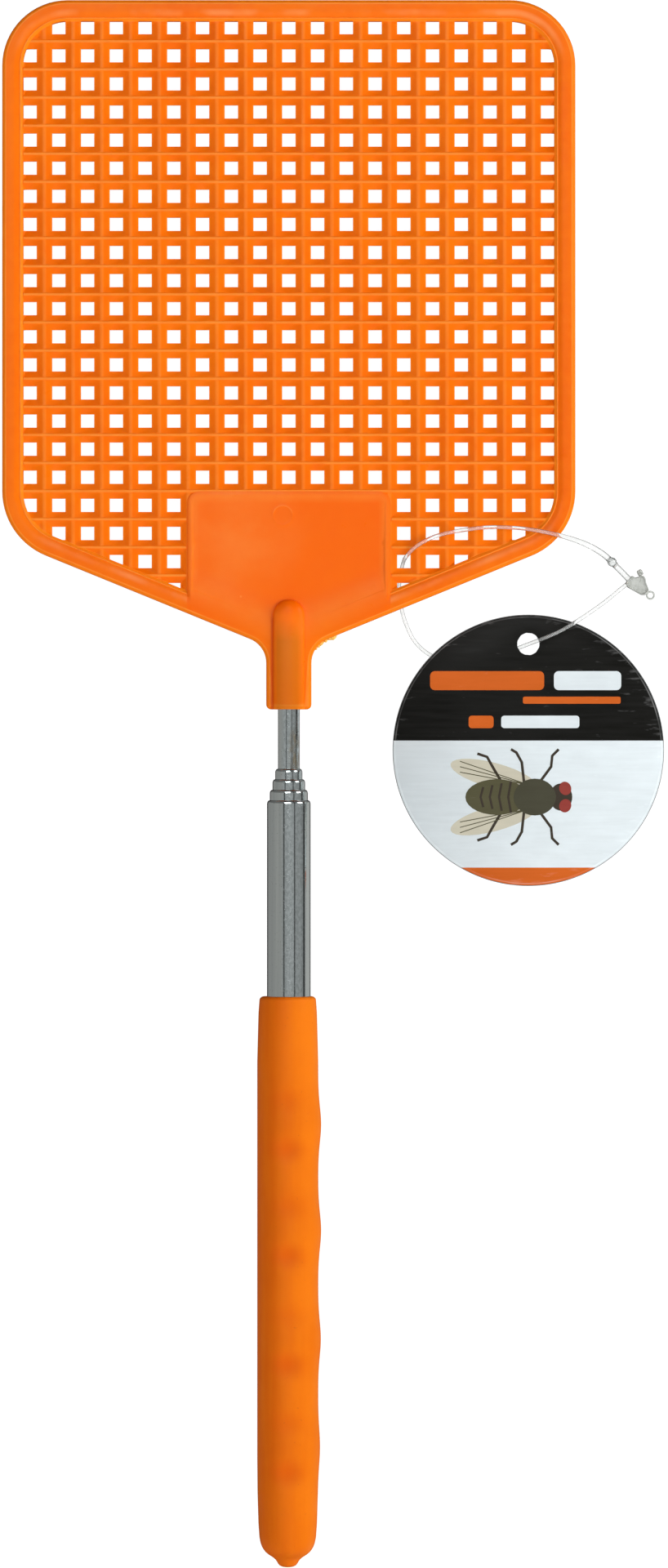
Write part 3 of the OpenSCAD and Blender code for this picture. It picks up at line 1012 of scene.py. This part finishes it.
def clip_lines(lines, step=0.2):
    """Keeps the stretches of each line that lie in the open part of the grid."""
    kept = []
    for a, b in steps_of(lines):
        if inside_grid(a) and inside_grid(b):
            kept.append((a, b))
            continue
        count = max(2, round(dist(a, b) / step))
        line = [between(a, b, k / count) for k in range(count + 1)]
        inside = [p for p in line if inside_grid(p)]
        if len(inside) > 1:
            kept.append((inside[0], inside[-1]))
    return kept


def steps_of(paths):
    return [pair for path in paths for pair in zip(path, path[1:])]


def panel_lines():
    """The panel's top and side edges, the lines that round its step, and the pin's ring."""
    paths = []
    for inset in (0, 0.06, 0.2, 0.4, 0.6, PANEL_EDGE, 1.0):
        x, y = PANEL_HALF - inset, PANEL_TOP_Y - inset
        r = PANEL_CORNER - inset
        right = [(x, slant_y(x, 0.7))] + arc((x - r, y - r), r, 0, 90, 8)
        paths.append(right + mirrored(right))
    paths += [arc(PIN_AT, PIN_R + off, 0, 360, 24) for off in (-PIN_LINE, 0, PIN_LINE)]
    return steps_of(paths)


def panel_points(step=0.7):
    """Points all over the panel and the neck's shoulders, so that their soft slopes are smooth."""
    points = []
    for row in range(round((PANEL_TOP_Y - NECK_Y) / step)):
        y = PANEL_TOP_Y - 1.2 - row * step
        for column in range(round(2 * PANEL_HALF / step)):
            x = -PANEL_HALF + 1.2 + column * step + (row % 2) * step / 2
            if abs(x) < PANEL_HALF - 1.1 and blade_depth(x, y) > 3.9 and boss_reach(x, y) > BOSS_R + 0.2:
                points.append((x, y))
    return points


def boss_lines():
    end_y = BOSS_END_Y - BOSS_R
    paths = [[(0, NECK_Y), (0, end_y)]]
    for reach in (0.7, 1.4, 2.0, 2.45, 2.75, 2.9, BOSS_R):
        paths.append([(reach, NECK_Y)] + arc((0, end_y), reach, 0, 180, 16) + [(-reach, NECK_Y)])
    return steps_of(paths)


def at_neck_end(vert):
    return abs(vert.co.y - NECK_Y) < 1e-4


def socket_wall(bm, edge_points):
    """Closes the neck's lower end round the socket, and sinks the socket to its depth."""
    top = sorted(edge_points, key=lambda v: v.co.x)
    lower = {round(v.co.x, 4): v for v in bm.verts if at_neck_end(v) and v.co.z < 0}
    outline = top + [lower[round(v.co.x, 4)] for v in reversed(top)]
    loops = [[(v.co.x, v.co.z) for v in outline], circle((0, 0), SOCKET_R, 40)]
    points, faces = triangles_of(loops, [])
    known = {(round(v.co.x, 3), round(v.co.z, 3)): v for v in outline}
    placed = []
    for x, z in points:
        placed.append(known.get((round(x, 3), round(z, 3))) or bm.verts.new((x, NECK_Y, z)))
    for face in faces:
        if centre_of(points, face).length > SOCKET_R * 0.999:
            bm.faces.new([placed[i] for i in face])
    rim = [v for v in placed if abs(hypot(v.co.x, v.co.z) - SOCKET_R) < 1e-3]
    rim.sort(key=lambda v: atan2(v.co.z, v.co.x))
    deep = ring_of(bm, [(v.co.x, NECK_Y + SOCKET_DEPTH, v.co.z) for v in rim])
    bridge(bm, [rim, deep])
    bm.faces.new(deep)


def head_faces(bm):
    """Upper and lower faces, mirror images about the middle plane. Returns each upper point's twin below."""
    holes = head_holes()
    segments = []
    for inset in (0.15, 0.4, 0.7):
        segments += round_pairs(head_outline(inset))
    for inset, _ in RIM_INNER:
        segments += round_pairs(blade_line(inset))
    segments += clip_lines(grid_lines()) + panel_lines() + boss_lines()
    points, faces = triangles_of([head_outline(0)] + list(holes.values()), segments, panel_points())
    heights = [head_height(*p) for p in points]
    upper = ring_of(bm, [(*p, z) for p, z in zip(points, heights)])
    lower = ring_of(bm, [(*p, -z) for p, z in zip(points, heights)])
    for face in faces:
        middle = centre_of(points, face)
        hole = holes.get(cell_at(*middle))
        if head_depth(*middle) < 0 or (hole and in_polygon(middle, hole)):
            continue
        bm.faces.new([upper[i] for i in face])
        bm.faces.new([lower[i] for i in reversed(face)])
    return dict(zip(upper, lower))


def make_head(plastic):
    bm = bmesh.new()
    twin = head_faces(bm)
    neck_end = set()
    for edge in [e for e in bm.edges if len(e.link_faces) == 1 and e.verts[0] in twin]:
        a, b = edge.verts
        if at_neck_end(a) and at_neck_end(b):
            neck_end.update((a, b))
        else:
            bm.faces.new((a, b, twin[b], twin[a]))
    drop_loose(bm)
    socket_wall(bm, neck_end)
    for edge in bm.edges:
        a, b = edge.verts
        on_crown = all(abs(abs(v.co.z) - CROWN_H) < 1e-3 for v in (a, b))
        if on_crown and abs(a.co.y - b.co.y) < 1e-3:
            edge.smooth = False
    inset = bm.verts.layers.float.new("inset")
    panel_inset = bm.verts.layers.float.new("panel_inset")
    for vert in bm.verts:
        vert[inset] = max(0, head_depth(vert.co.x, vert.co.y))
        vert[panel_inset] = panel_depth(vert.co.x, vert.co.y)
    place = Matrix.Translation((0, 0, ROD_Z))
    head = make_piece("moulded_head", bm, "head", plastic, ["grid_head"], 42, place)
    head.modifiers.new("even", "WEIGHTED_NORMAL").keep_sharp = True


# Crumbs of flash on the right-hand shoulder: how far each one is from the rod, and how big it is
CRUMBS = [(5.0, 0.24), (5.4, 0.34), (5.9, 0.40), (6.3, 0.26), (6.8, 0.32), (7.3, 0.24), (7.7, 0.38),
          (8.1, 0.46), (8.5, 0.30)]


def shoulder_y(x):
    """Y of the right-hand edge where the fillet runs up into the slanted rim."""
    if x < FILLET_C[0] - FILLET_R * cos(CORNER_TURN):
        return FILLET_C[1] + sqrt(FILLET_R ** 2 - (x - FILLET_C[0]) ** 2)
    return slant_y(x)


def make_crumbs(plastic):
    """Small torn crumbs of moulding flash, each a lumpy ball pressed into the edge."""
    rng = random.Random(7)
    bm = bmesh.new()
    for x, size in CRUMBS:
        centre = Vector((x, shoulder_y(x) - size * 0.2, ROD_Z + 0.3))
        made = bmesh.ops.create_icosphere(bm, subdivisions=3, radius=size)["verts"]
        lumps = [(Vector([rng.uniform(-1, 1) for _ in range(3)]).normalized(), rng.uniform(0.1, 0.45))
                 for _ in range(9)]
        for vert in made:
            out = vert.co.normalized()
            grow = 1 + sum(high * max(0, out.dot(way)) ** 6 for way, high in lumps)
            vert.co = centre + vert.co * grow
    make_piece("flash_crumbs", bm, "head", plastic, (), 60)


# ---------------- the rod

TUBES = [("8mm", "handle"), ("7mm", "section_7mm"), ("6mm", "section_6mm"), ("5mm", "section_5mm"),
         ("4mm", "head")]
TUBE_WALL = 0.25
TUBE_BREAK = 0.08
TUBE_SIDES = 96
MOUTH_ROLL = 0.7
RUNNING_GAP = 0.05


def make_tubes(steel, stained):
    """Nested tubes. Each one's mouth is rolled inwards, to run on the next, narrower one."""
    place = Matrix.Translation((0, 0, ROD_Z)) @ Matrix.Rotation(radians(-90), 4, "X")
    for (size, body), narrower in zip(TUBES, TUBES[1:] + [None]):
        low, high = box_mm("tube_" + size)
        outer = (high.x - low.x) / 2
        bore = outer - TUBE_WALL
        profile = [(bore, low.y), (bore + 0.1, low.y)]
        profile += [(outer - TUBE_BREAK, low.y), (outer, low.y + TUBE_BREAK)]
        if narrower:
            next_low, next_high = box_mm("tube_" + narrower[0])
            mouth = (next_high.x - next_low.x) / 2 + RUNNING_GAP
            base = high.y - MOUTH_ROLL
            for x, y in arc((0, 0), 1, 0, 90):
                profile.append((mouth + (outer - mouth) * x, base + MOUTH_ROLL * y))
            for x, y in arc((0, 0), 1, 90, 0, 6):
                profile.append((mouth + (bore - mouth) * x, base + (MOUTH_ROLL - TUBE_WALL) * y))
        else:
            profile += [(outer, high.y - 0.1), (outer - TUBE_BREAK, high.y), (bore, high.y)]
        bm = bmesh.new()
        rings = revolve(bm, profile, TUBE_SIDES)
        bridge(bm, [rings[-1], rings[0]])
        metal = steel if narrower else stained
        make_piece("steel_tube_" + size, bm, body, metal, ["tube_" + size], 30, place)


# ---------------- the grip

GRIP_LOW, GRIP_HIGH = box_mm("grip")
GRIP_R = 5.6
GRIP_LEAN = 0.2
GRIP_STEP = 0.7
GRIP_SIDES = 96
# The grip's open end, as distance from its edge and radius, and how far that edge is rounded
GRIP_MOUTH = [(0, 5.15), (3, 5.37), (12, GRIP_R)]
MOUTH_EDGE = 0.7
# The grip's closed end, as distance from its tip and radius: a nub that flows into the rounded shoulder
GRIP_END = [(0, 0), (0.03, 0.55), (0.12, 1.05), (0.35, 1.50), (0.7, 1.80), (1.1, 2.02), (1.45, 2.28),
            (1.75, 2.62), (2.05, 3.05), (2.4, 3.60), (2.8, 4.06), (3.25, 4.42), (3.8, 4.74), (4.5, 5.00),
            (5.5, 5.20), (8, 5.38), (14, 5.55), (20, GRIP_R)]
GRIP_BORE = 4.02
BORE_CLEARANCE = 1.5
# Bumps for the fingers: where they are and how far they stand out, with hollows below and above each one
BUMPS_Y = [-62.5, -82.0, -101.9, -121.7]
BUMP_OUT = [0.55, 0.55, 0.5, 0.35]
BUMP_TURN = 8
HOLLOW_BELOW = 4.4
HOLLOW_ABOVE = 4.6
DIMPLE = 0.6


def grip_radius(y):
    """Radius of the grip's body at a height, without the finger bumps."""
    from_front = GRIP_HIGH.y - y
    radius = table(y - GRIP_LOW.y, GRIP_END)
    if from_front < GRIP_MOUTH[-1][0]:
        radius = min(radius, table(from_front, GRIP_MOUTH))
    if from_front < MOUTH_EDGE:
        radius -= MOUTH_EDGE - sqrt(max(0, MOUTH_EDGE ** 2 - (MOUTH_EDGE - from_front) ** 2))
    return radius


def bell(value, centre, width):
    return exp(-((value - centre) / width) ** 2)


def grip_surface(y, turn):
    """Radius at a height and at an angle from +X in degrees, with the bumps and the hollows."""
    radius = grip_radius(y)
    for place, out in zip(BUMPS_Y, BUMP_OUT):
        radius += out * bell(y, place, 4.6) * max(0, cos(turn - BUMP_TURN)) ** 2
        if sin(turn) > 0:
            hollows = bell(y, place - HOLLOW_BELOW, 2.1) + 0.45 * bell(y, place + HOLLOW_ABOVE, 2.1)
            radius -= DIMPLE * hollows * bell(cos(turn), 0.10, 0.42) * sin(turn)
    return radius


def grip_heights():
    heights = [GRIP_LOW.y + from_end for from_end, _ in GRIP_END[1:] if from_end < 6]
    start = heights[-1] + 0.6
    end = GRIP_HIGH.y - MOUTH_EDGE
    count = round((end - start) / GRIP_STEP)
    heights += [start + (end - start) * k / count for k in range(count + 1)]
    return heights + [end + MOUTH_EDGE * sin(turn) for turn in range(12, 91, 13)]


def make_grip(rubber):
    """A sleeve closed at its lower end, with a bore for the widest tube."""
    bm = bmesh.new()
    heights = grip_heights()
    front = heights[-1]
    rings = [ring_of(bm, [(-GRIP_LEAN, GRIP_LOW.y, ROD_Z)])]
    for y in heights:
        ring = []
        for k, (across, up) in enumerate(circle((0, 0), 1, GRIP_SIDES)):
            r = grip_surface(y, 360 * k / GRIP_SIDES)
            ring.append((r * across - GRIP_LEAN, y, ROD_Z + r * up))
        rings.append(ring_of(bm, ring))
    bore = [(front, GRIP_BORE + 0.12), (front - 0.15, GRIP_BORE), (WIDE_LOW.y - BORE_CLEARANCE, GRIP_BORE)]
    for y, r in bore:
        rings.append(ring_of(bm, [(x, y, ROD_Z + z) for x, z in circle((0, 0), r, GRIP_SIDES)]))
    bridge(bm, rings)
    bm.faces.new(rings[-1])
    make_piece("finger_grip", bm, "handle", rubber, ["grip"], 50)


# ---------------- the hang tag

TAG_R = 25
TAG_T = 0.6
TAG_RIM = 0.12
TAG_HOLE = (44.1, 25.8)
TAG_HOLE_R = 2.05
TAG_HOLE_OUT = 19.6
TAG_LEAN = 1.4
BLACK_FROM = 8.0
ORANGE_TO = -15.4
# The card's colours and its inks, with how rough and how metallic each one is
INKS = {
    "black": ((0.0055, 0.0055, 0.0045), 0.30),
    "silver": ((0.70, 0.765, 0.79), 0.38, 0.1),
    "orange": ((0.60, 0.115, 0.012), 0.36),
    "back": ((0.82, 0.82, 0.80), 0.5),
    "core": ((0.16, 0.17, 0.17), 0.6),
    "wing": ((0.56, 0.53, 0.42), 0.4),
    "leg": ((0.045, 0.035, 0.025), 0.4),
    "body": ((0.085, 0.080, 0.040), 0.4),
    "thorax": ((0.060, 0.058, 0.036), 0.4),
    "eye": ((0.28, 0.045, 0.035), 0.4),
}
CARD_PARTS = ["black", "silver", "orange", "back", "core"]


def tag_place():
    """From the tag's own plane, with its centre at the origin, to its leaning place."""
    hole = Matrix.Translation((*TAG_HOLE, (TAG_HOLE_OUT + TAG_R) * sin(TAG_LEAN)))
    return hole @ Matrix.Rotation(radians(TAG_LEAN), 4, "X") @ Matrix.Translation((0, -TAG_HOLE_OUT, 0))


def make_tag(inks):
    """Card disc, printed in three bands on its face, with a rounded rim and a punched hole."""
    bm = bmesh.new()
    hole = Vector((0, TAG_HOLE_OUT))
    tag_faces(bm, hole)
    open_verts = {v for edge in bm.edges if len(edge.link_faces) == 1 for v in edge.verts}
    for centre, radius in ((Vector((0, 0)), TAG_R), (hole, TAG_HOLE_R)):
        tag_rim(bm, open_verts, centre, radius)
    tag = make_piece("round_tag", bm, "tag", None, ["hang_tag"], 50, tag_place())
    for part in CARD_PARTS:
        tag.data.materials.append(inks[part])
    return tag


def tag_faces(bm, hole):
    centre_y = TAG_HOLE[1] - TAG_HOLE_OUT
    bands = (BLACK_FROM - centre_y, ORANGE_TO - centre_y)
    face_r = TAG_R - TAG_RIM
    segments = []
    for y in bands:
        half = sqrt(face_r ** 2 - y * y)
        segments.append(((-half, y), (half, y)))
    loops = [circle((0, 0), face_r, 160), circle(hole, TAG_HOLE_R + TAG_RIM / 2, 40)]
    points, faces = triangles_of(loops, segments)
    for z in (TAG_T, 0):
        verts = ring_of(bm, [(*p, z) for p in points])
        for face in faces:
            middle = centre_of(points, face)
            if (middle - hole).length < TAG_HOLE_R:
                continue
            made = bm.faces.new([verts[i] for i in face])
            band = "black" if middle.y > bands[0] else "silver" if middle.y > bands[1] else "orange"
            made.material_index = CARD_PARTS.index(band if z else "back")
    drop_loose(bm)


def tag_rim(bm, open_verts, centre, radius):
    """Joins the front and back faces' edges that lie round a centre, by a wall at a radius."""
    ends = []
    for on_front in (True, False):
        ring = [v for v in open_verts if (v.co.z > TAG_T / 2) == on_front]
        ring = [v for v in ring if abs((v.co.xy - centre).length - radius) < 1]
        ring.sort(key=lambda v: atan2(v.co.y - centre.y, v.co.x - centre.x))
        ends.append(ring)
    walls = []
    for z in (TAG_T - 0.1, 0.1):
        places = [centre + (v.co.xy - centre).normalized() * radius for v in ends[0]]
        walls.append(ring_of(bm, [(*p, z) for p in places]))
    for made in bridge(bm, [ends[0], *walls, ends[1]]):
        made.material_index = CARD_PARTS.index("core")


INK_STEP = 0.012


def print_layer(name, shapes, ink, level=1):
    """Flat printed shapes, as thin pads standing just out of the tag's face. A higher level covers a lower
    one."""
    bm = bmesh.new()
    for shape in shapes:
        ends = [ring_of(bm, [(*p, TAG_T + INK_STEP * up) for p in shape]) for up in (-1, level)]
        bridge(bm, ends)
        bm.faces.new(ends[0])
        bm.faces.new(ends[1])
    return make_piece(name, bm, "tag", ink, (), 30, tag_place())


def bar(x, y, width, height):
    """A printed bar with rounded ends, from its lower left corner."""
    r = height * 0.25
    corners = [(x + width - r, y + r, -90), (x + width - r, y + height - r, 0),
               (x + r, y + height - r, 90), (x + r, y + r, 180)]
    return [p for cx, cy, start in corners for p in arc((cx, cy), r, start, start + 90, 4)]


def ellipse(x, y, a, b, turn=0):
    flat = [(a * u, b * v) for u, v in circle((0, 0), 1, 28)]
    return [(x + u * cos(turn) - v * sin(turn), y + u * sin(turn) + v * cos(turn)) for u, v in flat]


def stroke(points, width):
    """A bent line of even width, as one closed outline."""
    left, right = [], []
    for p, before, after in zip(points, points[:1] + points, points[1:] + points[-1:]):
        along = (Vector(after) - Vector(before)).normalized()
        side = Vector((-along.y, along.x)) * width / 2
        left.append(tuple(Vector(p) + side))
        right.append(tuple(Vector(p) - side))
    return left + right[::-1]


FLY_AT = (-0.6, -8.6)
FLY_LEGS = [[(-4.6, 2.2), (-6.6, 5.6), (-7.6, 7.4), (-9.4, 8.0)],
            [(-0.8, 2.8), (-1.2, 6.4), (-2.2, 8.2), (-3.2, 8.8)],
            [(2.0, 2.6), (4.2, 5.6), (4.4, 7.6), (5.6, 8.8)]]


def make_prints(inks):
    """Plain bars where a card has its heading, and a simple fly seen from above."""
    x, y = FLY_AT
    sides = (-1, 1)
    legs = [stroke([(a, y + side * b) for a, b in path], 0.5) for side in sides for path in FLY_LEGS]
    veins = []
    for side in sides:
        for out in (4.6, 5.6, 6.6):
            veins.append(stroke([(x + 0.8, y + side * 2.2), (x - 12.0, y + side * out)], 0.16))
    stripes = []
    for k in range(4):
        at, half = x - 2.6 - 1.7 * k, 2.9 - 0.35 * k
        stripes.append(stroke([(at, y - half), (at - 0.5, y), (at, y + half)], 0.42))
    wings = [ellipse(x - 5.8, y + side * 4.0, 8.2, 2.3, -side * 15) for side in sides]
    eyes = [ellipse(x + 7.4, y + side * 1.6, 1.1, 1.25, side * 20) for side in sides]
    orange = [bar(-18.1, 11.1, 21.0, 3.5), bar(-1.0, 8.6, 18.0, 1.3), bar(-11.0, 4.1, 4.6, 2.3)]
    pale = [bar(4.7, 11.1, 12.4, 3.5), bar(-5.0, 4.1, 14.4, 2.3)]
    layers = [
        ("tag_bars_orange", orange, "orange", 1),
        ("tag_bars_pale", pale, "silver", 1),
        ("tag_fly_wings", wings, "wing", 1),
        ("tag_fly_veins", veins, "body", 2),
        ("tag_fly_legs", legs, "leg", 2),
        ("tag_fly_abdomen", [ellipse(x - 5.2, y, 5.8, 3.3)], "body", 3),
        ("tag_fly_stripes", stripes, "leg", 4),
        ("tag_fly_head", [ellipse(x + 6.6, y, 2.1, 2.5)], "leg", 4),
        ("tag_fly_thorax", [ellipse(x + 1.8, y, 3.9, 3.4)], "thorax", 5),
        ("tag_fly_eyes", eyes, "eye", 5),
    ]
    return [print_layer(name, shapes, inks[ink], level) for name, shapes, ink, level in layers]


# ---------------- putting it together

def paint_hidden_nodes():
    """Gives the pieces inside the rod their own metals and plastic."""
    looks = {"butt_plug": black_plastic()}
    brass = turned_metal("plug_brass", (0.78, 0.55, 0.24), 0.28)
    bronze = turned_metal("ring_bronze", (0.70, 0.42, 0.22), 0.3)
    for size in ("4mm", "5mm", "6mm", "7mm"):
        looks["end_plug_" + size] = brass
        looks["friction_ring_" + size] = bronze
    for node, material in looks.items():
        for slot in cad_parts[node].material_slots:
            slot.material = material


def main():
    make_camera()
    nylon = clear_nylon()
    loop, loop_length = make_loop(nylon)
    lock = make_lock(frosted_nylon())
    bead = make_bead(nylon)
    inks = {name: printed_card("tag_" + name, *look) for name, look in INKS.items()}
    tag = make_tag(inks)
    prints = make_prints(inks)
    make_studio()
    paper = pale_floor()
    make_floor(paper)
    make_backdrop(paper)
    make_head(head_plastic())
    make_crumbs(crumb_plastic())
    make_tubes(tube_steel(), tube_steel("tube_steel_tip", stain=(1.1, 6.0)))
    make_grip(soft_grip())
    paint_hidden_nodes()


main()
